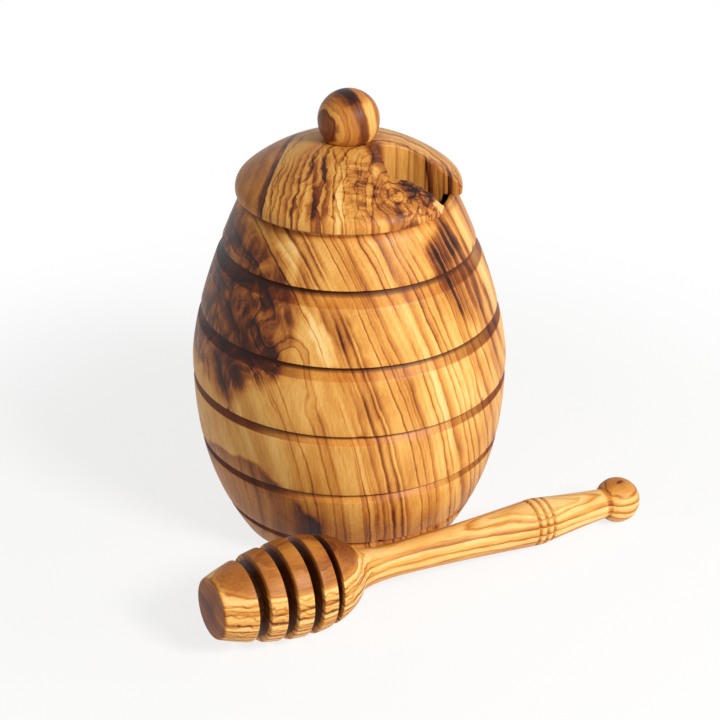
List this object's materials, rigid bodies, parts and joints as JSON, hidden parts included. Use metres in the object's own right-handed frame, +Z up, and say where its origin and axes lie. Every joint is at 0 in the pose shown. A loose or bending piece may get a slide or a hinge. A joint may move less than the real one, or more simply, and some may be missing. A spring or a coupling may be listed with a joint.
{
  "type": "honey pot with loose lid and dipper",
  "caption": "Turned wooden barrel-shaped pot with grooved bands, a loose domed lid slotted for a handle, a ball knob, and a grooved dipper lying in front.",
  "frame": {"origin": "centre of the pot's flat base, on the pot's axis", "axes": "+Z up along the pot's axis, -Y towards the front, where the dipper lies, +X to the right, where the lid's slot opens"},
  "size_m": [0.1452, 0.1415, 0.1458],
  "materials": {
    "pot_wood": "oiled satin",
    "lid_wood": "oiled satin",
    "knob_wood": "oiled satin",
    "dowel_wood": "plain",
    "dipper_wood": "oiled satin"
  },
  "bodies": {
    "pot": {"pot_body": "pot_wood"},
    "lid": {"lid": "lid_wood", "knob": "knob_wood", "knob_dowel": "dowel_wood"},
    "dipper": {"dipper": "dipper_wood"}
  },
  "joints": [
    {"name": "lid_lift", "type": "slide", "parent": "pot", "child": "lid", "axis": [0, 0, 1], "range_m": [0, 0.08]},
    {"name": "dipper_lift", "type": "slide", "parent": "pot", "child": "dipper", "axis": [0.3514, -0.6136, 0.7071], "range_m": [0, 0.12]}
  ]
}
